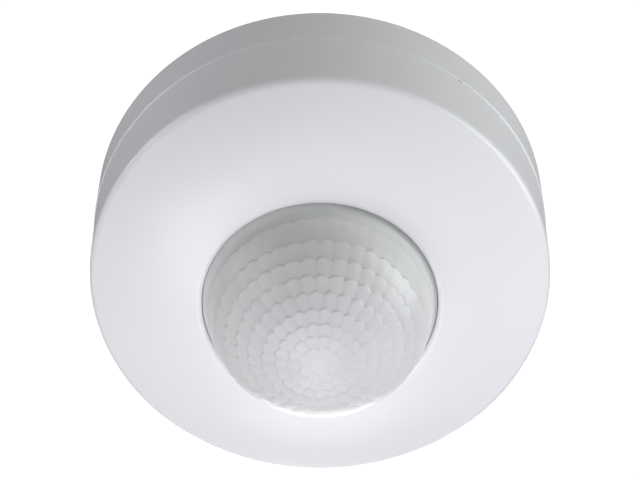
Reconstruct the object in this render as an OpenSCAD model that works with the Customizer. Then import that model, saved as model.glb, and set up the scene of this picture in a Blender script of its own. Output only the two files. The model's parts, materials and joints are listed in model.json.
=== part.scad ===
// Round surface-mounted ceiling motion sensor, in millimetres.
// The ceiling is the plane z = 0 and the sensor hangs below it, so every z is negative.

/* [Housing] */
// Radius of the base at the ceiling
base_r = 55; // [54.9:0.05:55.1]
// Depth of the base below the ceiling, down to the seam
base_h = 13.6; // [13.4:0.1:13.8]
// Thickness of the base plate
plate_t = 2.6; // [2.4:0.1:2.8]
// Radius of the cover at the seam
cover_r = 54.6; // [54.5:0.05:54.65]
// Draft of the cover wall in degrees
cover_draft = 1.8; // [1.4:0.1:2]
// Wall thickness of the cover
cover_t = 2.2; // [2:0.1:2.3]
// Depth of the centre of the cover's rounded corner
corner_z = 31.4; // [31.2:0.1:31.6]
// Radius of the cover's rounded corner
corner_r = 2.6; // [2.4:0.1:2.9]
// Radius of the lens opening in the cover
opening_r = 27.3; // [27.25:0.05:27.4]
// Radius of the rounded lip around the opening
lip_r = 1.1; // [1:0.1:1.2]
// Depth of the centre of the rounded lip
lip_z = 41.3; // [41.1:0.1:41.4]
// Radius of the gentle curve of the cover's face
face_r = 70; // [66:1:76]

/* [Lens] */
// Radius of the lens rim inside the opening
rim_r = 27; // [26.8:0.05:27]
// Radius of the dome where it leaves the rim
dome_r = 26; // [25.8:0.1:26.2]
// Depth of the plane where the dome starts
dome_z = 42.9; // [42.7:0.1:43]
// Height of the dome
dome_h = 23.6; // [23:0.1:24]
// Thickness of the dome wall
dome_t = 0.9; // [0.8:0.05:1]

/* [Fixing to the ceiling] */
// Distance between the two ceiling screw slots
slot_spacing = 60; // [59.5:0.5:60.5]
// Width of each slot
slot_w = 4.5; // [4.2:0.1:4.8]
// Length of each slot from end to end
slot_l = 9; // [8:0.5:9]
// Distance of the cable entry from the centre
entry_y = 28; // [27.8:0.1:28.2]
// Radius of the cable bore in the grommet
cable_r = 4.5; // [4:0.1:4.6]

/* [Terminals] */
// Distance from one terminal to the next
pole_pitch = 6.4; // [6.3:0.05:6.45]
// Width of each release pusher along the row
pusher_w = 3.6; // [3.4:0.1:3.7]

/* [Setting knobs] */
// Distance of the knobs from the centre
knob_ring_r = 36.6; // [36.5:0.1:36.8]
// Radius of each knob
knob_r = 3.7; // [3.5:0.1:3.8]
// Radius of each knob's shaft
shaft_r = 1.5; // [1.4:0.05:1.6]

/* [Output] */
// Sub-part to draw, or all of them

/* [Hidden] */
$fn = 96;

// overlap that makes joined shapes one solid
joined = 0.1;
// how far a cutting shape reaches past the face that it opens
past = 1;

// ---- places that more than one sub-part uses ----

// gap of the seam between base and cover
seam_gap = 0.1;
cover_top = -base_h - seam_gap;

// three bosses of the base carry the chassis
boss_ring = 43.5;
boss_r = 3.4;
boss_bore = 1.35;
boss_angles = [90, 210, 330];

// three leaf springs on the chassis hold the cover
clip_angles = [30, 150, 270];
clip_w = 8;

// plates of the chassis and of the two boards, top and bottom
chassis_top = -24;
chassis_bottom = -26;
power_top = -20;
power_bottom = -21.6;
board_top = -28.5;
board_bottom = -30.1;
post_spots = [[34, 18], [-34, 18], [36, -12], [-36, -12]];

// six-way link between the two boards
link_y = -30.5;
link_pitch = 2.54;

// terminal block, with a plug pin and a release pusher for each pole
block_x = 14.4;
block_y0 = 2;
block_y1 = 15;
block_z = -13.4;
pin_y = 5;
pusher_y = 11.6;
wire_z = -6.6;

// trimmers and their knobs
knob_angles = [150, 170, 190];
trimmer_h = 3.6;
trimmer_z = board_bottom - trimmer_h;

// three feet of the lens mount, and the face that the lens flange lies on
foot_angles = [105, 225, 345];
foot_ring = 33.5;
foot_t = 1.2;
seat_z = -35.6;
flange_z = -36.6;
flange_r = 30.4;

// screws, by the radius of their thread and of their head
small_thread = 0.9;
small_head = 2.2;

// the lens rim flares from its upright wall into the dome along this curve
flare_angle = 6;
flare = [[rim_r, 2 - dome_z], [rim_r, 1 - dome_z], [dome_r, 0.2 - dome_z],
  [dome_r * cos(flare_angle), -dome_z - dome_h * sin(flare_angle)]];
function bezier(p, t) = pow(1 - t, 3) * p[0] + 3 * t * pow(1 - t, 2) * p[1]
  + 3 * t * t * (1 - t) * p[2] + t * t * t * p[3];

// the cover's outline: a corner circle, a lip circle, and the face circle that touches both
corner_x = cover_r - (corner_z + cover_top) * tan(cover_draft) - corner_r / cos(cover_draft);
corner_c = [corner_x, -corner_z];
lip_c = [opening_r + lip_r, -lip_z];
corner_d = face_r - corner_r;
lip_d = face_r - lip_r;
span = norm(lip_c - corner_c);
along = (corner_d * corner_d - lip_d * lip_d + span * span) / (2 * span);
across = sqrt(corner_d * corner_d - along * along);
unit = (lip_c - corner_c) / span;
face_c = corner_c + along * unit + across * [unit[1], -unit[0]];
wall_touch = corner_c + corner_r * [cos(cover_draft), -sin(cover_draft)];

function beyond(p, more) = face_c + (p - face_c) / norm(p - face_c) * (face_r + more);
function wall_x(z) = cover_r - (cover_top - z) * tan(cover_draft);
function pole_x(i) = (i - 1.5) * pole_pitch;
function link_x(i) = (i - 2.5) * link_pitch;

// children once at each angle, moved out to radius r
module around(angles, r) for (a = angles) rotate(a) translate([r, 0, 0]) children();

// children on the left and on the right
module both_sides(x) for (s = [-1, 1]) translate([s * x, 0, 0]) children();

// a cross recess of depth d, opened towards the side that s gives
module cross_recess(z, d, s, w = 0.6, l = 2.6) translate([0, 0, z - s * d]) for (a = [0, 90]) rotate(a)
  translate([-l / 2, -w / 2, min(0, s * (d + past))]) cube([l, w, d + past]);

// ---- housing fixed to the ceiling ----

spigot_r = 52;
spigot_in = 50.4;
spigot_z = -17.2;
spigot_soft = 0.4;
back_soft = 0.35;
base_draft = 0.15;
seam_soft = 0.3;
web_z = -13.4;
groove_r = 47;
groove_w = 3;
groove_h = 1.5;
recess_h = 0.8;
recess_in = 13;
recess_out = 43.5;
recess_spans = [[15, 60], [120, 165], [195, 228], [231, 264], [276, 309], [312, 345]];
entry_r = 8;
entry_seat_r = 10.5;
entry_seat_h = 1;
rib_t = 1.4;
rib_h = 1.4;

// a ceiling screw slot with exact round ends
module slot(x) translate([x, 0, -5]) {
  both_sides((slot_l - slot_w) / 2) cylinder(r = slot_w / 2, h = 6);
  translate([(slot_w - slot_l) / 2, -slot_w / 2, 0]) cube([slot_l - slot_w, slot_w, 6]);
}

// a shallow recess in the ceiling side, from angle a to angle b
module back_recess(a, b) translate([0, 0, -recess_h]) linear_extrude(2) intersection() {
  difference() {
    circle(r = recess_out);
    circle(r = recess_in);
  }
  polygon(concat([[0, 0]], [for (c = [a, (a + b) / 2, b]) 80 * [cos(c), sin(c)]]));
}

module base_shell() rotate_extrude() polygon([[0, 0], [base_r - back_soft, 0], [base_r, -back_soft],
  [base_r - base_draft, seam_soft - base_h], [base_r - base_draft - seam_soft, -base_h],
  [spigot_r, -base_h], [spigot_r, spigot_z + spigot_soft], [spigot_r - spigot_soft, spigot_z],
  [spigot_in, spigot_z], [spigot_in, -plate_t], [0, -plate_t]]);

// a boss for the chassis, with a web to the wall
module base_boss() {
  translate([0, 0, chassis_top]) cylinder(r = boss_r, h = -chassis_top - plate_t + 2 * joined);
  translate([2, -0.8, web_z]) cube([spigot_in - boss_ring - 1.8, 1.6, -web_z - plate_t + 2 * joined]);
}

// the raised rim around a ceiling screw slot
module slot_rim() translate([0, 0, -plate_t - 1.2]) difference() {
  cylinder(r = 8.4, h = rib_h);
  translate([0, 0, -past]) cylinder(r = 7, h = 3);
}

module base_plate() color([0.93, 0.93, 0.92]) difference() {
  union() {
    base_shell();
    around(boss_angles, boss_ring) base_boss();
    both_sides(block_x + 1.3) translate([-1, 5.5, -9]) cube([2, 6, 9 - plate_t + 2 * joined]);
    both_sides(slot_spacing / 2) slot_rim();
    around([270], 30) translate([0, 0, -plate_t - 0.6]) cube([32, rib_t, rib_h + 0.2], center = true);
    around([235, 305], 32) translate([0, 0, -plate_t - 0.6]) cube([26, rib_t, rib_h + 0.2], center = true);
  }
  rotate_extrude() translate([groove_r, -groove_h]) square([groove_w, 3]);
  for (span_of = recess_spans) back_recess(span_of[0], span_of[1]);
  for (s = [-1, 1]) slot(s * slot_spacing / 2);
  translate([0, entry_y, -5]) cylinder(r = entry_r, h = 6);
  translate([0, entry_y, -entry_seat_h]) cylinder(r = entry_seat_r, h = 2);
  around(boss_angles, boss_ring) translate([0, 0, chassis_top - past]) cylinder(r = boss_bore, h = 16);
}

module ceiling_gasket() color([0.25, 0.26, 0.27]) rotate_extrude()
  translate([groove_r + 0.1, -groove_h]) square([groove_w - 0.2, groove_h]);

module cable_grommet() color([0.2, 0.2, 0.21]) translate([0, entry_y, 0]) rotate_extrude()
  polygon([[cable_r, -0.1], [entry_seat_r - 0.3, -0.1], [entry_seat_r - 0.3, -entry_seat_h],
    [entry_r - 0.1, -entry_seat_h], [entry_r - 0.1, -plate_t], [9.8, -plate_t], [9.8, -3.4],
    [9.3, -3.8], [7.2, -3.8], [6.2, -8], [cable_r, -8]]);

// ---- terminals ----

module terminal_housing() color([0.30, 0.32, 0.35]) difference() {
  translate([-block_x, block_y0, block_z]) cube([2 * block_x, block_y1 - block_y0, -block_z - plate_t]);
  translate([-block_x - past, block_y1 - 1.6, block_z - past]) rotate([45, 0, 0])
    translate([0, 0, -3]) cube([2 * block_x + 2 * past, 5, 3]);
  for (i = [0:3]) translate([pole_x(i), 0, 0]) {
    translate([-pusher_w / 2 - 0.1, pusher_y - 1.9, block_z - past]) cube([pusher_w + 0.2, 3.8, 6]);
    translate([0, block_y1 + past, wire_z]) rotate([90, 0, 0]) cylinder(r = 1.7, h = 5);
    translate([0, block_y1 + 0.01, wire_z]) rotate([90, 0, 0]) cylinder(r1 = 2.4, r2 = 1.7, h = 0.8);
    translate([-2.4, 3.4, -8.4]) cube([4.8, 8, 5]);
    translate([0, pin_y, block_z - past]) cylinder(r = 0.95, h = 7);
  }
}

module terminal_clamps() color([0.78, 0.62, 0.30]) for (i = [0:3]) translate([pole_x(i), 0, 0])
  difference() {
    translate([-2.3, 3.5, -8.3]) cube([4.6, 7.8, 4.8]);
    translate([-1.8, 6.4, -7.9]) cube([3.6, 6, 3.9]);
    translate([0, pin_y, -9]) cylinder(r = 0.75, h = 6);
  }

// a release pusher that stands 0.9 mm out of its well, with a screwdriver slot
module terminal_pusher(i) color([0.93, 0.48, 0.14]) translate([pole_x(i), pusher_y, block_z - 0.9])
  difference() {
    translate([-pusher_w / 2, -1.8, 0]) cube([pusher_w, 3.6, 4.2]);
    translate([-0.5, -2.5, -0.5]) cube([1, 5, 1.1]);
  }
module terminal_pusher_1() terminal_pusher(0);
module terminal_pusher_2() terminal_pusher(1);
module terminal_pusher_3() terminal_pusher(2);
module terminal_pusher_4() terminal_pusher(3);

// ---- chassis, which carries both boards and the lens ----

chassis_r = 51.2;
skirt_r = 49.8;
skirt_in = 48.2;
skirt_h = 10;
post_h = power_bottom - chassis_top;
foot_h = chassis_bottom - board_top;

module chassis_ribs() for (a = [12:60:312]) rotate(a)
  translate([30, 0, chassis_bottom - 0.6]) cube([22, 1.2, 1.4], center = true);

module chassis() color([0.86, 0.86, 0.85]) difference() {
  union() {
    translate([0, 0, chassis_bottom]) cylinder(r = chassis_r, h = chassis_top - chassis_bottom);
    difference() {
      translate([0, 0, chassis_top - joined]) cylinder(r = skirt_r, h = skirt_h + joined);
      translate([0, 0, chassis_top - past]) cylinder(r = skirt_in, h = skirt_h + 2 * past);
    }
    for (p = post_spots) translate([p[0], p[1], chassis_top - joined]) cylinder(r = 2.6, h = post_h + joined);
    around(foot_angles, foot_ring) translate([0, 0, board_top]) cylinder(r = 2.8, h = foot_h + joined);
    around([15, 105, 225, 315], 40.5) translate([0, 0, board_top]) cylinder(r = 1.8, h = foot_h + joined);
    chassis_ribs();
  }
  around(boss_angles, boss_ring) translate([0, 0, chassis_bottom - 2]) cylinder(r = 1.6, h = 6);
  for (p = post_spots) translate([p[0], p[1], chassis_bottom + 0.5]) cylinder(r = small_thread + 0.05, h = 6);
  around(foot_angles, foot_ring) translate([0, 0, board_top - past])
    cylinder(r = small_thread + 0.05, h = 4.6);
  around(clip_angles, 46) translate([0, -clip_w / 2 - 0.6, chassis_top]) cube([7, clip_w + 1.2, 7]);
  translate([-9, link_y - 2.5, chassis_bottom - 3]) cube([18, 5, 8]);
}

module chassis_screws() color([0.72, 0.73, 0.75]) around(boss_angles, boss_ring) difference() {
  union() {
    translate([0, 0, chassis_bottom - 2]) cylinder(r = 2.9, h = 2);
    translate([0, 0, chassis_bottom - joined]) cylinder(r = 1.3, h = 14);
  }
  cross_recess(chassis_bottom - 2, 1.1, -1, 0.7, 3.2);
}

// ---- power board on the upper side of the chassis ----

power_r = 44;

module power_board() color([0.10, 0.38, 0.22]) difference() {
  translate([0, 0, power_bottom]) cylinder(r = power_r, h = power_top - power_bottom);
  translate([0, 0, power_bottom - past]) {
    around(boss_angles, boss_ring) cylinder(r = 4, h = 4);
    around(boss_angles, boss_ring) translate([0, -4, 0]) cube([4, 8, 4]);
    for (p = post_spots) translate(p) cylinder(r = 1.4, h = 4);
    for (i = [0:3]) translate([pole_x(i), pin_y, 0]) cylinder(r = 0.75, h = 4);
    for (i = [0:5]) translate([link_x(i), link_y, 0]) cylinder(r = 0.5, h = 4);
  }
}

module board_screws() color([0.72, 0.73, 0.75]) for (p = post_spots) translate(p) difference() {
  union() {
    translate([0, 0, power_top]) cylinder(r = small_head + 0.1, h = 1.5);
    translate([0, 0, power_top - 4.6]) cylinder(r = small_thread, h = 4.7);
  }
  cross_recess(power_top + 1.5, 0.8, 1);
}

module plug_pins() color([0.80, 0.66, 0.34]) for (i = [0:3]) translate([pole_x(i), pin_y, 0]) {
  translate([0, 0, power_bottom - 0.8]) cylinder(r = 0.65, h = 16);
  translate([0, 0, power_top]) cylinder(r = 1.3, h = 1);
}

// a box on the power board with bevelled upper edges, centred on the origin
module bevelled_box(l, w, h, bevel) difference() {
  translate([-l / 2, -w / 2, 0]) cube([l, w, h]);
  for (s = [-1, 1]) {
    translate([s * l / 2, 0, h]) rotate([0, 45, 0]) cube([bevel, w + 2, bevel], center = true);
    translate([0, s * w / 2, h]) rotate([45, 0, 0]) cube([l + 2, bevel, bevel], center = true);
  }
}

relay_h = 15.4;
module relay() color([0.12, 0.13, 0.15]) translate([0, -12.25, power_top]) difference() {
  bevelled_box(29, 12.7, relay_h, 0.8);
  translate([-11, 0, relay_h - 0.5]) cylinder(r = 0.7, h = 2);
}

module film_capacitor() color([0.88, 0.72, 0.20]) translate([-23, -24, power_top]) rotate(35)
  bevelled_box(18, 8.4, 13.6, 0.9);

// a can standing on the board, with the rolled groove near its foot
module can(x, y, r, h) translate([x, y, power_top]) rotate_extrude() polygon([[0, 0], [r - 0.3, 0],
  [r, 0.3], [r, 1.6], [r - 0.35, 2], [r, 2.4], [r, h - 0.4], [r - 0.4, h], [r - 1.2, h],
  [r - 1.4, h - 0.25], [0, h - 0.25]]);

module electrolytic_capacitors() color([0.13, 0.15, 0.22]) {
  can(24, -22, 5, 12.5);
  can(27, -6, 4, 11.5);
}

varistor_r = 5.2;
module varistor() color([0.12, 0.30, 0.62]) translate([-36, 4, power_top + 1.6 + varistor_r])
  rotate([90, 0, 0]) {
    rotate_extrude() polygon([[0, -1.9], [varistor_r - 0.8, -1.9], [varistor_r, -1.1], [varistor_r, 1.1],
      [varistor_r - 0.8, 1.9], [0, 1.9]]);
    both_sides(2.5) translate([0, -6.8, 0]) rotate([-90, 0, 0]) cylinder(r = 0.4, h = 3);
  }

module fuse() color([0.45, 0.16, 0.10]) translate([-22, -8, power_top]) rotate_extrude()
  polygon([[0, 0], [4, 0], [4.25, 0.3], [4.25, 7.2], [3.6, 8], [0, 8]]);

module rectifier() color([0.10, 0.10, 0.11]) translate([6, -37.5, power_top]) difference() {
  translate([-4.2, -3.2, 0]) cube([8.4, 6.4, 3.4]);
  translate([-4.2, -4, 3.4]) rotate([0, 45, 0]) cube([0.8, 8, 0.8]);
}

module choke() color([0.16, 0.16, 0.17]) translate([24, 8, power_top]) rotate_extrude()
  polygon([[0, 0], [4.6, 0], [4.6, 1.2], [3.4, 1.4], [3.4, 8.2], [4.6, 8.4], [4.6, 9.6], [0, 9.6]]);

// ---- sensor board below the chassis ----

board_r = 46;

module board_link() color([0.16, 0.16, 0.17]) {
  translate([-3 * link_pitch, link_y - 1.25, board_top])
    cube([6 * link_pitch, 2.5, power_bottom - 0.3 - board_top]);
  for (i = [0:5]) translate([link_x(i), link_y, board_bottom - 0.6]) cylinder(r = 0.32, h = 10.9);
}

module sensor_board() color([0.10, 0.38, 0.22]) difference() {
  translate([0, 0, board_bottom]) cylinder(r = board_r, h = board_top - board_bottom);
  translate([0, 0, board_bottom - past]) {
    around(boss_angles, boss_ring) cylinder(r = 3.6, h = 4);
    around(boss_angles, boss_ring) translate([0, -3.6, 0]) cube([4, 7.2, 4]);
    around(foot_angles, foot_ring) cylinder(r = 1.2, h = 4);
    for (i = [0:5]) translate([link_x(i), link_y, 0]) cylinder(r = 0.5, h = 4);
  }
}

module microcontroller() color([0.09, 0.09, 0.10]) translate([37.5, 8, board_bottom]) {
  difference() {
    translate([-3.7, -5.2, -2.3]) cube([7.4, 10.4, 2.2]);
    translate([-2.4, 4, -2.8]) cylinder(r = 0.5, h = 0.7);
  }
  both_sides(4.4) for (i = [-3:3]) translate([0, i * 1.27, -0.55]) cube([1.8, 0.42, 1.1], center = true);
}

module trimmer_bodies() color([0.14, 0.27, 0.55]) around(knob_angles, knob_ring_r)
  translate([0, 0, trimmer_z]) difference() {
    translate([-4, -4.6, 0]) cube([8, 9.2, trimmer_h]);
    translate([0, 0, -past]) cylinder(r = shaft_r + 0.05, h = 2.8 + past);
  }

// a fluted knob with a screwdriver slot, a pointer notch and a shaft into its trimmer
knob_h = 1.6;
knob_low = -1.9;
module knob(a) color([0.92, 0.92, 0.90]) rotate(a) translate([knob_ring_r, 0, trimmer_z]) difference() {
  union() {
    translate([0, 0, knob_low]) cylinder(r = knob_r, h = knob_h);
    translate([0, 0, -0.4]) cylinder(r = shaft_r, h = 3);
    around([0:20:340], knob_r - 0.05) translate([0, 0, knob_low]) cylinder(r = 0.28, h = knob_h, $fn = 24);
  }
  translate([-2.6, -0.4, knob_low - 1.1]) cube([5.2, 0.8, 1.9]);
  translate([1.9, 0, knob_low - 1.1]) rotate(45) translate([-0.6, -0.6, 0]) cube([1.2, 1.2, 1.6]);
}
module time_knob() knob(knob_angles[0]);
module light_knob() knob(knob_angles[1]);
module range_knob() knob(knob_angles[2]);

// ---- sensing elements ----

can_lean = 38;
holder_h = 9.4;

// where sensing can number i sits, leaning outwards under the dome
module leaning(i) rotate(i * 120 + 90) translate([6.6, 0, -37.2]) rotate([0, 180 - can_lean, 0]) children();

module pyro_holder() color([0.14, 0.14, 0.15]) difference() {
  translate([0, 0, board_bottom - holder_h]) cylinder(r1 = 9, r2 = 15, h = holder_h);
  for (i = [0:2]) leaning(i) translate([0, 0, -2.6]) cylinder(r = 4.7, h = 14);
  translate([0, 0, board_bottom - 4]) cylinder(r1 = 3, r2 = 11, h = 4.01);
}

module pyro_cans() color([0.80, 0.80, 0.82]) for (i = [0:2]) leaning(i) difference() {
  union() {
    cylinder(r = 4.1, h = 4.2);
    translate([0, 0, -0.4]) cylinder(r = 4.6, h = 0.7);
  }
  translate([-1.75, -1.75, 3.8]) cube([3.5, 3.5, 1]);
}

module pyro_windows() color([0.22, 0.18, 0.22]) for (i = [0:2]) leaning(i)
  translate([-1.7, -1.7, 3.8]) cube([3.4, 3.4, 0.35]);

// a domed resin body of radius r on the board, with a flange and a wall of that height
module resin_dome(r, flange, flange_h, wall) translate([0, 0, board_bottom]) rotate_extrude()
  polygon(concat([[0, 0], [r + flange, 0], [r + flange, -flange_h], [r, -flange_h], [r, -wall]],
    [for (a = [10:10:90]) [r * cos(a), -wall - r * sin(a)]]));

module light_sensor() color([0.75, 0.78, 0.80]) translate([-18, 8, 0]) resin_dome(2.5, 0.4, 1, 5);
module status_led() color([0.75, 0.12, 0.10]) translate([18, 8, 0]) resin_dome(1.5, 0.4, 0.9, 3.6);

// ---- lens and its seat ----

mount_in = 24.4;
seal_r = 28.2;
seal_w = 1.4;
seal_h = 0.8;

module lens_mount() color([0.86, 0.86, 0.85]) difference() {
  union() {
    rotate_extrude() polygon([[mount_in, board_bottom], [29, board_bottom], [29, board_bottom - foot_t],
      [27.4, board_bottom - foot_t], [27.4, seat_z + 1.4], [flange_r, seat_z + 1.4], [flange_r, seat_z],
      [mount_in, seat_z]]);
    around(foot_angles, foot_ring) translate([0, 0, board_bottom - foot_t]) {
      cylinder(r = 3, h = foot_t);
      translate([-6, -2, 0]) cube([6, 4, foot_t]);
    }
  }
  around(foot_angles, foot_ring) translate([0, 0, board_bottom - 3]) cylinder(r = 1.2, h = 5);
  rotate_extrude() translate([seal_r, seat_z - past]) square([seal_w, seal_h + past]);
}

module lens_mount_screws() color([0.72, 0.73, 0.75]) around(foot_angles, foot_ring)
  translate([0, 0, board_bottom - foot_t]) difference() {
    union() {
      translate([0, 0, -1.5]) cylinder(r = small_head, h = 1.5);
      translate([0, 0, -joined]) cylinder(r = small_thread, h = 6);
    }
    cross_recess(-1.5, 0.7, -1);
  }

module lens_seal() color([0.2, 0.2, 0.21]) rotate_extrude() translate([seal_r + 0.05, seat_z])
  square([seal_w - 0.1, seal_h]);

module lens() color([0.86, 0.88, 0.86, 0.75]) rotate_extrude() polygon(concat(
  [[flange_r, seat_z], [flange_r, flange_z], [rim_r, flange_z]],
  [for (t = [0:0.125:1]) bezier(flare, t)],
  [for (a = [9:3:87]) [dome_r * cos(a), -dome_z - dome_h * sin(a)]],
  [[0, -dome_z - dome_h], [0, -dome_z - dome_h + dome_t]],
  [for (a = [87:-3:0]) [(dome_r - dome_t) * cos(a), -dome_z - (dome_h - dome_t) * sin(a)]],
  [[dome_r - dome_t, seat_z]]));

ring_low = -37.6;
ring_r = 31.6;
module lens_clamp_ring() color([0.86, 0.86, 0.85]) difference() {
  rotate_extrude() polygon([[27.7, flange_z], [27.7, ring_low], [ring_r - 0.5, ring_low],
    [ring_r, ring_low + 0.5], [ring_r, seat_z + 1.5], [ring_r + 0.5, seat_z + 1.8],
    [ring_r + 0.5, seat_z + 2.4], [flange_r - 0.5, seat_z + 2.4], [flange_r - 0.5, seat_z + 1.4],
    [flange_r + 0.2, seat_z + 1.4], [flange_r + 0.2, flange_z]]);
  around([0:60:300], 29) translate([0, -1.2, seat_z + 0.6]) cube([4, 2.4, 3]);
}

// ---- cover and the springs that hold it ----

// a bent strip: its foot lies on the chassis and its nose reaches into the cover's groove
module cover_clips() color([0.78, 0.79, 0.81]) for (a = clip_angles) rotate(a) translate([0, clip_w / 2, 0])
  rotate([90, 0, 0]) linear_extrude(clip_w) polygon([[46.4, chassis_top], [50.2, chassis_top],
    [50.2, -22.9], [52.75, -21.1], [50.6, -18.2], [50.2, -18.5], [52.2, -21.1], [49.8, -22.7],
    [49.8, -23.6], [46.4, -23.6]]);

module cover_outline() {
  intersection() {
    translate(face_c) circle(r = face_r, $fn = 360);
    polygon([[opening_r, cover_top], [cover_r, cover_top], wall_touch, corner_c, beyond(corner_c, 3),
      beyond(lip_c, 3), lip_c, [opening_r, -lip_z]]);
  }
  translate(corner_c) circle(r = corner_r);
  translate(lip_c) circle(r = lip_r);
}

hollow_top = cover_top + 3;
hollow_low = -50;
module cover_hollow() intersection() {
  translate(face_c) circle(r = face_r - cover_t, $fn = 360);
  polygon([[opening_r - 5, hollow_top], [wall_x(hollow_top) - cover_t, hollow_top],
    [wall_x(hollow_low) - cover_t, hollow_low], [opening_r - 5, hollow_low]]);
}

// a rib inside the corner of the cover
module cover_rib() translate([0, 0.6, 0]) rotate([90, 0, 0]) linear_extrude(1.2)
  polygon([[52.4, -28.1], [47.4, -33.4], [47.4, -34.8], [52.4, -32.6]]);

// the groove that the springs snap into, and the small notch beside the seam that frees the cover
clip_groove = [45, -22.8];
clip_groove_size = [8.2, 3.4];
notch_angle = -53.5;
notch_size = [2.4, 1.1, 1.1];

module cover() color([0.95, 0.95, 0.94]) difference() {
  union() {
    rotate_extrude() difference() {
      cover_outline();
      cover_hollow();
    }
    around([0:60:300], 0) cover_rib();
  }
  rotate_extrude() translate(clip_groove) square(clip_groove_size);
  rotate(notch_angle) translate([cover_r, 0, cover_top]) cube(notch_size, center = true);
}

base_plate();
ceiling_gasket();
cable_grommet();
terminal_housing();
terminal_clamps();
terminal_pusher_1();
terminal_pusher_2();
terminal_pusher_3();
terminal_pusher_4();
chassis();
chassis_screws();
power_board();
board_screws();
plug_pins();
relay();
film_capacitor();
electrolytic_capacitors();
varistor();
fuse();
rectifier();
choke();
board_link();
sensor_board();
microcontroller();
trimmer_bodies();
time_knob();
light_knob();
range_knob();
pyro_holder();
pyro_cans();
pyro_windows();
light_sensor();
status_led();
lens_mount();
lens_mount_screws();
lens_seal();
lens();
lens_clamp_ring();
cover_clips();
cover();
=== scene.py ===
"""Looks of a round surface-mounted ceiling motion sensor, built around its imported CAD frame.

Everything is in metres in the row frame: the ceiling is the plane z = 0 and the lens hangs down to -Z.
"""

import json
import math
import random
from itertools import product

import bpy
import numpy as np
from mathutils import Matrix, Vector


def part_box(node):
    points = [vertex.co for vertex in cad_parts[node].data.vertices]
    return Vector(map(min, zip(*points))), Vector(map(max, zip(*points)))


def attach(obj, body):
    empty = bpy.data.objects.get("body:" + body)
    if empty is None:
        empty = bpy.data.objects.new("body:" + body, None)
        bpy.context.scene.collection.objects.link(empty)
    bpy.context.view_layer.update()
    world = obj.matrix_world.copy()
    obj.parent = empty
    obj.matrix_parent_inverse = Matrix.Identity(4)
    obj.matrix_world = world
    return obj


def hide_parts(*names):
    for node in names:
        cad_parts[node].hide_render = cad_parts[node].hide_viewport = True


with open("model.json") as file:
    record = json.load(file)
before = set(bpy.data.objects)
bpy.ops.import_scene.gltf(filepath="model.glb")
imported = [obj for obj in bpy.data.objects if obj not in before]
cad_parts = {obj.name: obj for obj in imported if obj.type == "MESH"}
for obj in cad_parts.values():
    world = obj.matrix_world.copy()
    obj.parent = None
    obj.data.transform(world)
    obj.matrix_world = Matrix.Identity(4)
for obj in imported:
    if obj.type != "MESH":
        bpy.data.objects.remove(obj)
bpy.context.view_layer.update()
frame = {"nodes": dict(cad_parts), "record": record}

MM = 0.001
SIDES = (-1, 1)


# ---------------------------------------------------------------- node helpers


class Look:
    """A Principled material under construction: its node tree with a few shortcuts."""

    def __init__(self, name, color, roughness, metallic=0.0, ior=1.5):
        self.material = bpy.data.materials.new(name)
        self.material.use_nodes = True
        self.tree = self.material.node_tree
        self.shader = self.tree.nodes["Principled BSDF"]
        self.name = name
        self.set("Base Color", (*color, 1))
        self.set("Roughness", roughness)
        self.set("Metallic", metallic)
        self.set("IOR", ior)
        self.place = self.add("ShaderNodeTexCoord").outputs["Object"]
        self.height = None

    def add(self, kind, **settings):
        node = self.tree.nodes.new(kind)
        for key, value in settings.items():
            setattr(node, key, value)
        return node

    def set(self, socket, value):
        self.shader.inputs[socket].default_value = value

    def link(self, source, target):
        self.tree.links.new(source, target)

    def noise(self, scale, detail=3.0, rough=0.55):
        node = self.add("ShaderNodeTexNoise")
        self.link(self.place, node.inputs["Vector"])
        node.inputs["Scale"].default_value = scale
        node.inputs["Detail"].default_value = detail
        node.inputs["Roughness"].default_value = rough
        return node.outputs["Fac"]

    def cells(self, scale):
        node = self.add("ShaderNodeTexVoronoi")
        self.link(self.place, node.inputs["Vector"])
        node.inputs["Scale"].default_value = scale
        return node.outputs["Distance"]

    def spread(self, value, low, high, start=0.3, end=0.7):
        """Maps a texture's middle stretch start..end to low..high."""
        node = self.add("ShaderNodeMapRange")
        self.link(value, node.inputs["Value"])
        node.inputs["From Min"].default_value = start
        node.inputs["From Max"].default_value = end
        node.inputs["To Min"].default_value = low
        node.inputs["To Max"].default_value = high
        return node.outputs["Result"]

    def mix(self, factor, first, second):
        """Mixes two colours, each a tuple or a socket."""
        node = self.add("ShaderNodeMix", data_type="RGBA")
        self.link(factor, node.inputs["Factor"])
        for socket, value in ((node.inputs[6], first), (node.inputs[7], second)):
            if isinstance(value, tuple):
                socket.default_value = (*value, 1)
            else:
                self.link(value, socket)
        return node.outputs[2]

    def paint(self, value):
        self.link(value, self.shader.inputs["Base Color"])

    def polish(self, value):
        self.link(value, self.shader.inputs["Roughness"])

    def relief(self, value, depth, strength=1.0):
        """Adds a bump of that depth in metres on top of the earlier ones."""
        node = self.add("ShaderNodeBump")
        node.inputs["Strength"].default_value = strength
        node.inputs["Distance"].default_value = depth
        self.link(value, node.inputs["Height"])
        if self.height is not None:
            self.link(self.height, node.inputs["Normal"])
        self.height = node.outputs["Normal"]
        self.link(self.height, self.shader.inputs["Normal"])


def tinted(color, factor):
    """The colour made darker or lighter by that factor."""
    return tuple(min(1.0, c * factor) for c in color)


# ---------------------------------------------------------------- materials


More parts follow.
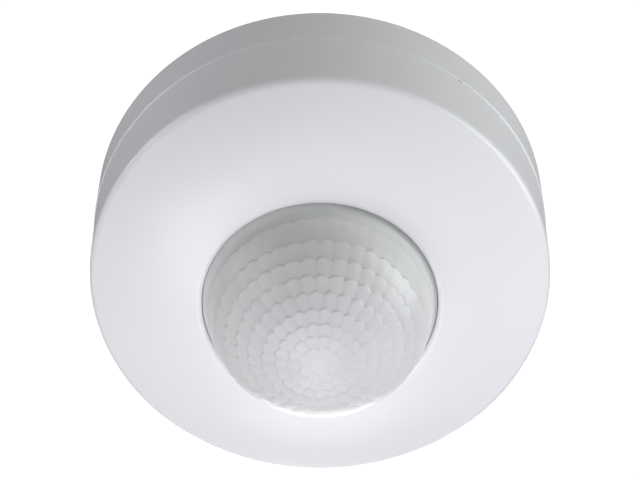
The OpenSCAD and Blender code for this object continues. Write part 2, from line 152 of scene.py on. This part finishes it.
def moulded_plastic(name, color, roughness, grain=0.000006, grain_scale=2600, waviness=0.00002,
                    variation=0.03, gloss_change=0.04):
    """Injection-moulded plastic: fine eroded grain, faint flow waviness and slightly uneven gloss."""
    look = Look(name, color, roughness)
    tone = look.spread(look.noise(45, 2), 0, 1)
    look.paint(look.mix(tone, tinted(color, 1 - variation), tinted(color, 1 + variation)))
    look.polish(look.spread(look.noise(110, 2), roughness - gloss_change, roughness + gloss_change))
    look.relief(look.noise(28, 1), waviness)
    look.relief(look.noise(grain_scale, 1, 0.5), grain)
    return look


def rubber(name, color):
    """Matt rubber with a fine dusty grain."""
    look = Look(name, color, 0.78)
    look.paint(look.mix(look.spread(look.noise(300, 4), 0, 1), tinted(color, 0.8), tinted(color, 1.25)))
    look.polish(look.spread(look.noise(900, 3), 0.68, 0.9))
    look.relief(look.noise(2600, 3, 0.7), 0.00003)
    return look


def foam(name, color):
    """Closed-cell foam with sunken pores, their bottoms darkened with painted shade."""
    look = Look(name, color, 0.95)
    pores = look.cells(1500)
    # painted shade: the colour darkens towards the bottom of each pore, where the relief below sinks
    look.paint(look.mix(look.spread(pores, 0, 1, 0.1, 0.6), tinted(color, 0.45), tinted(color, 1.2)))
    look.relief(pores, 0.00025, 0.8)
    return look


def plated_metal(name, color, roughness, stretch=(1, 1, 30), wear=0.12):
    """Plated or rolled metal: fine directional streaks and a few dull spots."""
    look = Look(name, color, roughness, metallic=1.0)
    mapping = look.add("ShaderNodeMapping")
    mapping.inputs["Scale"].default_value = stretch
    look.link(look.place, mapping.inputs["Vector"])
    streaks = look.add("ShaderNodeTexNoise")
    streaks.inputs["Scale"].default_value = 420
    streaks.inputs["Detail"].default_value = 4
    look.link(mapping.outputs["Vector"], streaks.inputs["Vector"])
    spots = look.spread(look.noise(520, 5, 0.6), 0, 1, 0.5, 0.72)
    look.paint(look.mix(spots, color, tinted(color, 1 - wear)))
    look.polish(look.spread(streaks.outputs["Fac"], roughness - 0.08, roughness + 0.14))
    look.relief(streaks.outputs["Fac"], 0.000012)
    return look


def circuit_board(name, color):
    """Solder mask over copper: a grid of traces that shows through, with a fine weave below."""
    look = Look(name, color, 0.32)
    look.set("Coat Weight", 0.35)
    look.set("Coat Roughness", 0.12)
    mapping = look.add("ShaderNodeMapping")
    mapping.inputs["Rotation"].default_value = (0, 0, math.radians(45))
    look.link(look.place, mapping.inputs["Vector"])
    traces = look.add("ShaderNodeTexBrick", offset=0.35, offset_frequency=3, squash=0.6, squash_frequency=4)
    traces.inputs["Scale"].default_value = 150
    traces.inputs["Mortar Size"].default_value = 0.035
    traces.inputs["Mortar Smooth"].default_value = 0.1
    traces.inputs["Brick Width"].default_value = 1.3
    traces.inputs["Row Height"].default_value = 0.42
    look.link(mapping.outputs["Vector"], traces.inputs["Vector"])
    patches = look.spread(look.noise(70, 0), 0, 1, 0.49, 0.51)
    copper = look.add("ShaderNodeMath", operation="MULTIPLY")
    look.link(traces.outputs["Fac"], copper.inputs[0])
    look.link(patches, copper.inputs[1])
    weave = look.spread(look.cells(1400), 0, 1, 0.1, 0.7)
    ground = look.mix(weave, tinted(color, 0.86), tinted(color, 1.05))
    look.paint(look.mix(copper.outputs[0], ground, tinted(color, 1.75)))
    look.polish(look.spread(look.noise(240, 3), 0.26, 0.4))
    look.relief(copper.outputs[0], 0.00003)
    return look


def milky_lens(name, color):
    """Translucent moulded polyethylene: light scatters through its thin wall, from inside as well."""
    look = Look(name, color, 0.34)
    look.set("Transmission Weight", 0.04)
    look.set("Subsurface Weight", 0.8)
    look.set("Subsurface Radius", (0.002, 0.0021, 0.002))
    look.set("Sheen Weight", 0.15)
    look.set("Sheen Roughness", 0.6)
    look.set("Subsurface Scale", 1.0)
    cloud = look.spread(look.noise(60, 3), 0, 1)
    look.paint(look.mix(cloud, tinted(color, 0.97), tinted(color, 1.02)))
    look.polish(look.spread(look.noise(300, 3), 0.31, 0.37))
    look.relief(look.noise(900, 2), 0.00001)
    return look


def clear_resin(name, color, transmission):
    """Cast resin that lets light through, slightly cloudy."""
    look = Look(name, color, 0.12, ior=1.52)
    look.set("Transmission Weight", transmission)
    cloud = look.spread(look.noise(500, 2), 0, 1)
    look.paint(look.mix(cloud, tinted(color, 0.9), tinted(color, 1.05)))
    look.polish(look.spread(look.noise(900, 2), 0.08, 0.18))
    return look


def coated_silicon(name, color):
    """A filter window of coated silicon with a faint purple tinge."""
    look = Look(name, color, 0.16, metallic=0.55)
    look.set("Coat Weight", 0.6)
    look.set("Coat Roughness", 0.05)
    sheen = look.spread(look.noise(260, 1), 0, 1)
    look.paint(look.mix(sheen, color, (0.28, 0.16, 0.34)))
    look.polish(look.spread(look.noise(1500, 2), 0.12, 0.22))
    return look


def all_looks():
    """One finished look for each material slot of the record, by name."""
    made = (
        moulded_plastic("white_plastic", (0.87, 0.875, 0.885), 0.3, grain=0.0000012, grain_scale=1300,
                        waviness=0.00001, variation=0.006, gloss_change=0.015),
        moulded_plastic("light_grey_plastic", (0.66, 0.67, 0.67), 0.48, grain=0.00002),
        moulded_plastic("grey_plastic", (0.10, 0.11, 0.125), 0.5, grain=0.00002),
        moulded_plastic("black_plastic", (0.018, 0.018, 0.020), 0.46, grain=0.00002, variation=0.2),
        moulded_plastic("orange_plastic", (0.82, 0.22, 0.03), 0.36),
        moulded_plastic("blue_plastic", (0.02, 0.07, 0.32), 0.34),
        moulded_plastic("yellow_plastic", (0.78, 0.50, 0.05), 0.32),
        moulded_plastic("brown_plastic", (0.12, 0.03, 0.018), 0.4),
        moulded_plastic("knob_plastic", (0.80, 0.80, 0.76), 0.38),
        moulded_plastic("sleeve_plastic", (0.012, 0.016, 0.04), 0.25, variation=0.15),
        moulded_plastic("blue_lacquer", (0.015, 0.06, 0.36), 0.22, waviness=0.00008),
        moulded_plastic("ferrite", (0.03, 0.03, 0.032), 0.6, grain=0.00003, variation=0.2),
        circuit_board("board", (0.012, 0.115, 0.045)),
        foam("foam", (0.05, 0.052, 0.055)),
        rubber("black_rubber", (0.022, 0.022, 0.023)),
        plated_metal("contact_brass", (0.86, 0.62, 0.28), 0.28),
        plated_metal("zinc_steel", (0.66, 0.67, 0.70), 0.3),
        plated_metal("spring_steel", (0.62, 0.63, 0.65), 0.24, stretch=(1, 1, 8)),
        plated_metal("nickel", (0.70, 0.68, 0.64), 0.2, stretch=(1, 1, 4)),
        coated_silicon("silicon", (0.06, 0.04, 0.08)),
        clear_resin("clear_resin", (0.80, 0.86, 0.90), 0.8),
        clear_resin("red_resin", (0.75, 0.03, 0.02), 0.5),
        milky_lens("lens_plastic", (0.795, 0.812, 0.795)),
    )
    return {look.name: look for look in made}


looks = all_looks()
slot_of = {s["node"]: s["material_slot"] for s in frame["record"]["subparts"]}


def dress_cad_nodes():
    """Gives each CAD node the look of its slot."""
    for name, obj in frame["nodes"].items():
        obj.data.materials.clear()
        obj.data.materials.append(looks[slot_of[name]].material)


# ---------------------------------------------------------------- mesh helpers


def mesh_object(name, points, faces, slot, body, smooth=True):
    """A new piece in that material slot, which moves with that body."""
    data = bpy.data.meshes.new(name)
    data.from_pydata([tuple(p) for p in points], [], faces)
    data.validate()
    data.polygons.foreach_set("use_smooth", [smooth] * len(data.polygons))
    data.materials.append(looks[slot].material)
    data.update()
    obj = bpy.data.objects.new(name, data)
    bpy.context.scene.collection.objects.link(obj)
    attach(obj, body)
    return obj


def shell_of_rings(rings, columns):
    """Points and faces of a skin from pole to pole: first and last rings are single points."""
    points = [rings[0][0]]
    starts = []
    for ring in rings[1:-1]:
        starts.append(len(points))
        points.extend(ring)
    points.append(rings[-1][0])
    faces = []
    for i in range(columns):
        j = (i + 1) % columns
        faces.append((0, starts[0] + j, starts[0] + i))
        for a, b in zip(starts, starts[1:]):
            faces.append((a + i, a + j, b + j, b + i))
        faces.append((starts[-1] + i, starts[-1] + j, len(points) - 1))
    return points, faces


# ---------------------------------------------------------------- the lens

LENS_LOW, LENS_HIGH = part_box("lens")
DOME_HEIGHT = 23.6 * MM
DOME_R = 26.0 * MM
DOME_Z = LENS_LOW.z + DOME_HEIGHT
RIM_R = 27.2 * MM
WALL = 0.9 * MM
FLANGE_R = LENS_HIGH.x
FLANGE_T = 1.0 * MM
FLARE_ANGLE = math.radians(5.6)
LENS_BEVEL = 0.05 * MM
# how finely the skin of the lens is divided: around, over the facets, over the rim, on the inside
SKIN_COLUMNS = 432
SKIN_ROWS = 182
FLARE_ROWS = 14
INNER_ROWS = 24
ARC_SAMPLES = 2001
# where each ring of facets starts, in degrees from the rim plane up to the apex
RING_STARTS = (6.2, 22, 32.5, 42, 50.5, 59, 66.5, 73, 79, 84.5)
# how many facets each ring holds; the last start is the single facet at the apex
RING_COUNTS = (45, 41, 38, 35, 31, 27, 21, 14, 8)
# Measures of a facet in the outermost, a middle and the innermost ring: how deep it sinks along its
# length, how deep it sinks towards its sides, and how far its edge bows towards the rim.
STEP = (0.32 * MM, 0.18 * MM, 0.02 * MM)
CROWN = (0.06 * MM, 0.13 * MM, 0.05 * MM)
SCALLOP = (0.8 * MM, 0.8 * MM, 0.6 * MM)
# how far one row fades into the next, and how far it is turned against the next, in facets
EDGE_BLEND = 0.46 * MM
ROW_SHIFT = 0.38
# how deep the facet at the apex sinks towards its edge
APEX_SAG = 0.3 * STEP[2]


def dome_arc_table():
    """Arc length along the dome's meridian against the angle from the rim plane."""
    angle = np.linspace(0, math.pi / 2, ARC_SAMPLES)
    steps = np.hypot(np.diff(DOME_R * np.cos(angle)), np.diff(DOME_HEIGHT * np.sin(angle)))
    return angle, np.concatenate([[0], np.cumsum(steps)])


ANGLE, ARC = dome_arc_table()


def arc_at(degrees):
    return float(np.interp(math.radians(degrees), ANGLE, ARC))


def graded(k, measures):
    """A facet measure of ring k, from its values in the outermost, a middle and the innermost ring."""
    last = len(RING_COUNTS) - 1
    return float(np.interp(k, (0, last / 2, last), measures))


def smooth_step(value):
    value = np.clip(value, 0, 1)
    return value * value * (3 - 2 * value)


def facet_relief(along, azimuth):
    """Depth of the moulded facets below the dome. Each ring is a row of scales like roof tiles:
    a scale stands proud at its rounded edge towards the rim and sinks towards the next row."""
    starts = [arc_at(degrees) for degrees in RING_STARTS]
    depth = 0 * azimuth - STEP[0]
    for k, count in enumerate(RING_COUNTS):
        pitch = 2 * math.pi / count
        across = 2 * ((azimuth / pitch + ROW_SHIFT * k) % 1.0) - 1
        up = np.clip((along - starts[k]) / (starts[k + 1] - starts[k]), 0, 1.3)
        scale = -graded(k, STEP) * up - graded(k, CROWN) * across**2
        edge = starts[k] + graded(k, SCALLOP) * across**2
        depth += smooth_step((along - edge) / EDGE_BLEND) * (scale - depth)
    apex = -APEX_SAG * ((ARC[-1] - along) / (ARC[-1] - starts[-1])) ** 2
    return depth + smooth_step((along - starts[-1]) / EDGE_BLEND) * (apex - depth)


def flare_profile(count):
    """Points (r, z) of the rim's S-curve, from its upright wall into the dome."""
    foot_r = DOME_R * math.cos(FLARE_ANGLE) - STEP[0]
    ends = [(RIM_R, DOME_Z + 1.9 * MM), (RIM_R, DOME_Z + 1.2 * MM), (foot_r + 0.1 * MM, DOME_Z + 0.2 * MM),
            (foot_r, DOME_Z - DOME_HEIGHT * math.sin(FLARE_ANGLE))]
    curve = []
    for t in np.linspace(0, 1, count):
        weights = ((1 - t) ** 3, 3 * t * (1 - t) ** 2, 3 * t * t * (1 - t), t**3)
        curve.append(tuple(sum(w * p[axis] for w, p in zip(weights, ends)) for axis in (0, 1)))
    return curve


def build_lens():
    """The lens as one closed skin: faceted dome, rim, flange and smooth inner wall."""
    azimuth = np.linspace(0, 2 * math.pi, SKIN_COLUMNS, endpoint=False)
    cos, sin = np.cos(azimuth), np.sin(azimuth)

    def ring(r, z):
        return np.column_stack([r * cos, r * sin, z + 0 * azimuth])

    rings = [[(0, 0, LENS_LOW.z)]]
    dome_start = float(np.interp(FLARE_ANGLE, ANGLE, ARC))
    for along in np.linspace(ARC[-1], dome_start, SKIN_ROWS)[1:-1]:
        angle = float(np.interp(along, ARC, ANGLE))
        depth = facet_relief(along, azimuth)
        normal = np.array([DOME_HEIGHT * math.cos(angle), DOME_R * math.sin(angle)])
        normal /= np.linalg.norm(normal)
        r = DOME_R * math.cos(angle) + depth * normal[0]
        z = DOME_Z - DOME_HEIGHT * math.sin(angle) - depth * normal[1]
        rings.append(ring(r, z))
    rings += [ring(r, z) for r, z in reversed(flare_profile(FLARE_ROWS))]
    bevel = LENS_BEVEL
    inner_r = DOME_R - WALL
    flange_high = LENS_HIGH.z
    flange_low = flange_high - FLANGE_T
    corners = [(RIM_R, flange_low - bevel), (RIM_R + bevel, flange_low), (FLANGE_R - bevel, flange_low),
               (FLANGE_R, flange_low + bevel), (FLANGE_R, flange_high - bevel),
               (FLANGE_R - bevel, flange_high), (inner_r + bevel, flange_high),
               (inner_r, flange_high - bevel)]
    rings += [ring(r, z) for r, z in corners]
    for angle in np.linspace(0, math.pi / 2, INNER_ROWS)[:-1]:
        rings.append(ring(inner_r * math.cos(angle), DOME_Z - (DOME_HEIGHT - WALL) * math.sin(angle)))
    rings.append([(0, 0, LENS_LOW.z + WALL)])
    points, faces = shell_of_rings(rings, SKIN_COLUMNS)
    lens = mesh_object("facet_lens", points, faces, "lens_plastic", "base")
    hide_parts("lens")


# ---------------------------------------------------------------- small parts on the boards

BOARD_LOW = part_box("sensor_board")[0].z
POWER_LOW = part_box("power_board")[0].z
# ring of the sensor board that the small parts stand on
PARTS_RING = (33.9 * MM, 44.4 * MM)
# places in that ring that other parts take, as (angle, distance, clear radius)
TAKEN = (
    *((angle, 36.6 * MM, 8.4 * MM) for angle in (150, 170, 190)),
    *((angle, 43.5 * MM, 6.0 * MM) for angle in (90, 210, 330)),
    *((angle, 33.5 * MM, 5.2 * MM) for angle in (105, 225, 345)),
    (12, 38.3 * MM, 9.0 * MM),
)
# kinds of small parts: slot of the body, its size, length of its end caps, how many
CHIP_KINDS = (
    ("black_plastic", (5.0 * MM, 4.0 * MM, 1.5 * MM), 0, 3),
    ("brown_plastic", (3.2 * MM, 1.6 * MM, 1.2 * MM), 0.5 * MM, 7),
    ("black_plastic", (2.0 * MM, 1.25 * MM, 0.5 * MM), 0.35 * MM, 22),
    ("brown_plastic", (1.6 * MM, 0.8 * MM, 0.8 * MM), 0.3 * MM, 20),
)
# legs of the chips that have no end caps
LEG_SIZE = (0.9 * MM, 0.42 * MM, 0.5 * MM)
LEG_PITCH = 1.27 * MM
LEGS_PER_SIDE = 4
BODY_BEVEL = 0.08 * MM
CAP_BEVEL = 0.05 * MM
LEG_BEVEL = 0.06 * MM
# how far an end cap stands out of its body, and how far parts stay apart
CAP_LIP = 0.03 * MM
CHIP_GAP = 0.7 * MM
# leads soldered to the underside of the power board, as (x, y) in millimetres
POWER_LEADS = (
    (-12, -15), (-12, -9.5), (0, -15), (10, -15), (10, -9.5), (-29.2, -28.4), (-16.8, -19.6),
    (21.5, -22), (26.5, -22), (25.2, -6), (28.8, -6), (-38.5, 4), (-33.5, 4), (-24.5, -8), (-19.5, -8),
    (3, -39.6), (9, -39.6), (3, -35.4), (9, -35.4), (21, 8), (27, 8),
)
# outline (r, z) of a joint around a lead, in millimetres below the board
LEAD_JOINT = ((0, 1.4), (0.3, 1.35), (0.36, 0.8), (0.55, 0.35), (0.95, 0.05), (0.95, 0), (0, 0))
PIN_JOINT = ((0, 0.75), (0.34, 0.7), (0.38, 0.45), (0.5, 0.22), (0.8, 0.04), (0.8, 0), (0, 0))
JOINT_COLUMNS = 16
# the pins between the two boards, as (x, y) in millimetres
LINK_PINS = tuple(((i - 2.5) * 2.54, -30.5) for i in range(6))
# wire around the choke's core, in layers of these radii
WINDING_LAYERS = (3.69 * MM, 4.22 * MM)
WINDING_TURNS = 11
STEPS_PER_TURN = 20
WIRE_SIDES = 8
# how far the winding stays inside the core's two ends
WINDING_INSET = 1.75 * MM
WIRE_R = 0.28 * MM


def bevelled_box(centre, size, turn, bevel):
    """Points and faces of a box with bevelled edges that is turned about Z.

    Each corner has three points, one on each side that meets there. A point's key holds the three
    signs of its corner and the axis of its side."""
    half = np.array(size) / 2
    cos, sin = math.cos(turn), math.sin(turn)
    points, index = [], {}
    for sx, sy, sz, axis in product(SIDES, SIDES, SIDES, range(3)):
        p = half - bevel
        p[axis] = half[axis]
        x, y, z = p * (sx, sy, sz)
        index[sx, sy, sz, axis] = len(points)
        offset = (x * cos - y * sin, x * sin + y * cos, z)
        points.append(tuple(np.add(centre, offset)))
    faces = []

    def add_face(keys):
        corners = [np.array(points[index[k]]) for k in keys]
        normal = np.cross(corners[1] - corners[0], corners[2] - corners[0])
        outward = np.mean(corners, axis=0) - centre
        order = keys if np.dot(normal, outward) > 0 else keys[::-1]
        faces.append(tuple(index[k] for k in order))

    for axis in range(3):
        u, v = [a for a in range(3) if a != axis]

        def corner(s, su, sv):
            signs = [0, 0, 0]
            signs[axis], signs[u], signs[v] = s, su, sv
            return tuple(signs)

        for s in SIDES:
            loop = ((-1, -1), (1, -1), (1, 1), (-1, 1))
            add_face([(*corner(s, su, sv), axis) for su, sv in loop])
        for su, sv in product(SIDES, SIDES):
            low, high = (corner(s, su, sv) for s in SIDES)
            add_face([(*low, u), (*high, u), (*high, v), (*low, v)])
    for signs in product(SIDES, SIDES, SIDES):
        add_face([(*signs, axis) for axis in range(3)])
    return points, faces


def joined_mesh(name, parts, slot, smooth=False):
    """One piece on the base out of several closed parts."""
    points, faces = [], []
    for part_points, part_faces in parts:
        start = len(points)
        points.extend(part_points)
        faces.extend(tuple(start + i for i in face) for face in part_faces)
    return mesh_object(name, points, faces, slot, "base", smooth)


def turned_part(x, y, profile, columns):
    """Points and faces of a small turned part on the upright axis through x, y.
    The profile is a list of (r, z) points."""
    rings = [[(x, y, profile[0][1])]]
    for r, z in profile[1:-1]:
        turns = (2 * math.pi * c / columns for c in range(columns))
        rings.append([(x + r * math.cos(a), y + r * math.sin(a), z) for a in turns])
    rings.append([(x, y, profile[-1][1])])
    return shell_of_rings(rings, columns)


def build_board_parts():
    """Small parts on the free ring of the sensor board, each kept clear of the ones before it."""
    rng = random.Random(11)
    leg_length, leg_width, leg_height = LEG_SIZE
    taken = []
    for angle, distance, clear in TAKEN:
        turn = math.radians(angle)
        taken.append((distance * math.cos(turn), distance * math.sin(turn), clear))
    bodies = {"black_plastic": [], "brown_plastic": []}
    metal = []
    for slot, (length, width, height), cap, count in CHIP_KINDS:
        clear = math.hypot(length, width) / 2 + CHIP_GAP / 2
        placed = 0
        while placed < count:
            angle = rng.uniform(0, 2 * math.pi)
            distance = rng.uniform(PARTS_RING[0] + clear, PARTS_RING[1] - clear)
            x, y = distance * math.cos(angle), distance * math.sin(angle)
            if any(math.hypot(x - tx, y - ty) < clear + tr for tx, ty, tr in taken):
                continue
            taken.append((x, y, clear))
            placed += 1
            turn = math.radians(90) * rng.randrange(4)
            middle = np.array([x, y, BOARD_LOW - height / 2])
            along = np.array([math.cos(turn), math.sin(turn), 0])
            across = np.array([-math.sin(turn), math.cos(turn), 0])
            size = (length - cap, width, height)
            bodies[slot].append(bevelled_box(middle, size, turn, BODY_BEVEL))
            if cap:
                size = (cap, width + 2 * CAP_LIP, height + 2 * CAP_LIP)
                for side in SIDES:
                    end = middle + side * along * (length - cap) / 2
                    metal.append(bevelled_box(end, size, turn, CAP_BEVEL))
                continue
            size = (leg_width, leg_length, leg_height)
            for side, k in product(SIDES, range(LEGS_PER_SIDE)):
                leg = middle + side * across * (width + leg_length) / 2
                leg = leg + along * (k - (LEGS_PER_SIDE - 1) / 2) * LEG_PITCH
                leg[2] = BOARD_LOW - leg_height / 2
                metal.append(bevelled_box(leg, size, turn, LEG_BEVEL))
    joined_mesh("board_chips", bodies["black_plastic"], "black_plastic")
    joined_mesh("board_capacitors", bodies["brown_plastic"], "brown_plastic")
    joined_mesh("board_chip_ends", metal, "nickel")


def build_solder_joints():
    """A cone of solder around each lead below the two boards."""
    joints = []
    below_power = (POWER_LEADS, LEAD_JOINT, POWER_LOW)
    below_sensor = (LINK_PINS, PIN_JOINT, BOARD_LOW)
    for places, outline, board in (below_power, below_sensor):
        for x, y in places:
            profile = [(r * MM, board - z * MM) for r, z in outline]
            joints.append(turned_part(x * MM, y * MM, profile, JOINT_COLUMNS))
    joined_mesh("solder_joints", joints, "nickel", smooth=True)


def build_winding():
    """Enamelled wire in two helical layers on the choke's core."""
    low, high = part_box("choke")
    middle = (low + high) / 2
    start, end = low.z + WINDING_INSET, high.z - WINDING_INSET
    steps = STEPS_PER_TURN * WINDING_TURNS
    coils = []
    for layer_r in WINDING_LAYERS:
        rings = []
        for i in range(steps + 1):
            turn = 2 * math.pi * WINDING_TURNS * i / steps
            height = start + (end - start) * i / steps
            ring = []
            for k in range(WIRE_SIDES):
                around = -2 * math.pi * k / WIRE_SIDES
                r = layer_r + WIRE_R * math.cos(around)
                z = height + WIRE_R * math.sin(around)
                ring.append((middle.x + r * math.cos(turn), middle.y + r * math.sin(turn), z))
            rings.append(ring)
        tips = [[tuple(np.mean(ring, axis=0))] for ring in (rings[0], rings[-1])]
        coils.append(shell_of_rings([tips[0], *rings, tips[1]], WIRE_SIDES))
    joined_mesh("choke_winding", coils, "contact_brass", smooth=True)


# ---------------------------------------------------------------- studio

# the camera's place, how far it leans from straight up, and its lens in millimetres
CAMERA_PLACE = (0, -0.2567, -0.4429)
CAMERA_LEAN = math.radians(30.785)
CAMERA_LENS = 116
NEUTRAL = (1, 1, 1)
COOL = (0.95, 0.96, 1)
LAVENDER = (0.91, 0.88, 1)
GREENISH = (0.94, 1, 0.88)
# name of each light, its azimuth and elevation as seen from the sensor in degrees (azimuth 0 is the
# side away from the camera and 90 its right), radius in metres, power in watts, colour
SOFT_LIGHTS = (
    ("below", 0, -90, 0.35, 2, COOL),
    ("key", 0, -60, 0.25, 2.5, LAVENDER),
    ("left_below", 300, -60, 0.25, 2, NEUTRAL),
    ("behind", 0, -30, 0.25, 1.5, GREENISH),
    ("right", 100, 0, 0.3, 4.5, COOL),
    ("right_front", 125, 0, 0.3, 2.5, GREENISH),
    ("left_front", 235, 0, 0.3, 1, GREENISH),
    ("left_high", 250, 30, 0.3, 2, COOL),
    ("left_spot", 250, -15, 0.1, 0.5, NEUTRAL),
    ("ceiling_side", 0, 30, 0.3, 3.5, NEUTRAL),
)
LIGHT_TARGET = Vector((0, 0, -0.035))
# the dim light that comes from everywhere
AMBIENT_COLOR = (0.93, 0.88, 1)
AMBIENT_STRENGTH = 0.17
# what the camera sees of the surround and of the floor
SURROUND_SEEN = 1.1
FLOOR_SEEN = (0.82, 0.82, 0.83)
FLOOR_HALF = 6
FLOOR_Z = -1.2


def build_camera():
    """The camera stands below the ceiling, in front of the sensor, and looks up at its lens side."""
    data = bpy.data.cameras.new("camera")
    data.lens = CAMERA_LENS
    data.sensor_width = 36
    data.clip_start = 0.01
    data.clip_end = 20
    camera = bpy.data.objects.new("camera", data)
    camera.location = CAMERA_PLACE
    ahead = Vector((0, math.sin(CAMERA_LEAN), math.cos(CAMERA_LEAN)))
    right = Vector((1, 0, 0))
    back = -ahead
    rotation = np.array([right, back.cross(right), back]).T
    camera.rotation_mode = "QUATERNION"
    camera.rotation_quaternion = Matrix(rotation.tolist()).to_quaternion()
    bpy.context.scene.collection.objects.link(camera)
    bpy.context.scene.camera = camera


def shown_as(tree, lit, seen, output):
    """Lets the camera see one shader, while light bounces off the other."""
    path = tree.nodes.new("ShaderNodeLightPath")
    blend = tree.nodes.new("ShaderNodeMixShader")
    tree.links.new(path.outputs["Is Camera Ray"], blend.inputs["Fac"])
    tree.links.new(lit.outputs[0], blend.inputs[1])
    tree.links.new(seen.outputs[0], blend.inputs[2])
    tree.links.new(blend.outputs[0], tree.nodes[output].inputs["Surface"])


def soft_light(name, azimuth, elevation, radius, power, color):
    """A round soft light 1 m away that looks at the sensor from that direction."""
    turn = math.radians(azimuth)
    rise = math.radians(elevation)
    outward = Vector((math.sin(turn) * math.cos(rise), math.cos(turn) * math.cos(rise), math.sin(rise)))
    data = bpy.data.lights.new(name, "AREA")
    data.shape = "DISK"
    data.size = 2 * radius
    data.energy = power
    data.color = color
    light = bpy.data.objects.new(name, data)
    light.location = LIGHT_TARGET + outward
    light.rotation_mode = "QUATERNION"
    light.rotation_quaternion = outward.to_track_quat("Z", "Y")
    bpy.context.scene.collection.objects.link(light)


def build_floor():
    """Pale floor far below the sensor."""
    data = bpy.data.meshes.new("floor")
    signs = ((-1, -1), (1, -1), (1, 1), (-1, 1))
    data.from_pydata([(x * FLOOR_HALF, y * FLOOR_HALF, FLOOR_Z) for x, y in signs], [], [(0, 1, 2, 3)])
    floor = bpy.data.objects.new("floor", data)
    bpy.context.scene.collection.objects.link(floor)
    pale = Look("pale_floor", (0.8, 0.8, 0.8), 0.8)
    pale.paint(pale.mix(pale.spread(pale.noise(3, 2), 0, 1), (0.79, 0.79, 0.79), (0.81, 0.81, 0.81)))
    data.materials.append(pale.material)
    glow = pale.add("ShaderNodeEmission")
    glow.inputs["Color"].default_value = (*FLOOR_SEEN, 1)
    shown_as(pale.tree, pale.shader, glow, "Material Output")


def build_surround():
    """An even pale surround: dim as a light, white as the camera sees it."""
    world = bpy.data.worlds.new("surround")
    world.use_nodes = True
    tree = world.node_tree
    background = tree.nodes["Background"]
    background.inputs["Color"].default_value = (*AMBIENT_COLOR, 1)
    background.inputs["Strength"].default_value = AMBIENT_STRENGTH
    seen = tree.nodes.new("ShaderNodeBackground")
    seen.inputs["Color"].default_value = (1, 1, 1, 1)
    seen.inputs["Strength"].default_value = SURROUND_SEEN
    shown_as(tree, background, seen, "World Output")
    bpy.context.scene.world = world


def build_studio():
    """Floor, surround and lights, with colours shown as they are."""
    build_floor()
    build_surround()
    for light in SOFT_LIGHTS:
        soft_light(*light)
    bpy.context.scene.view_settings.view_transform = "Standard"
    bpy.context.scene.view_settings.look = "None"


dress_cad_nodes()
build_lens()
build_board_parts()
build_solder_joints()
build_winding()
build_camera()
build_studio()
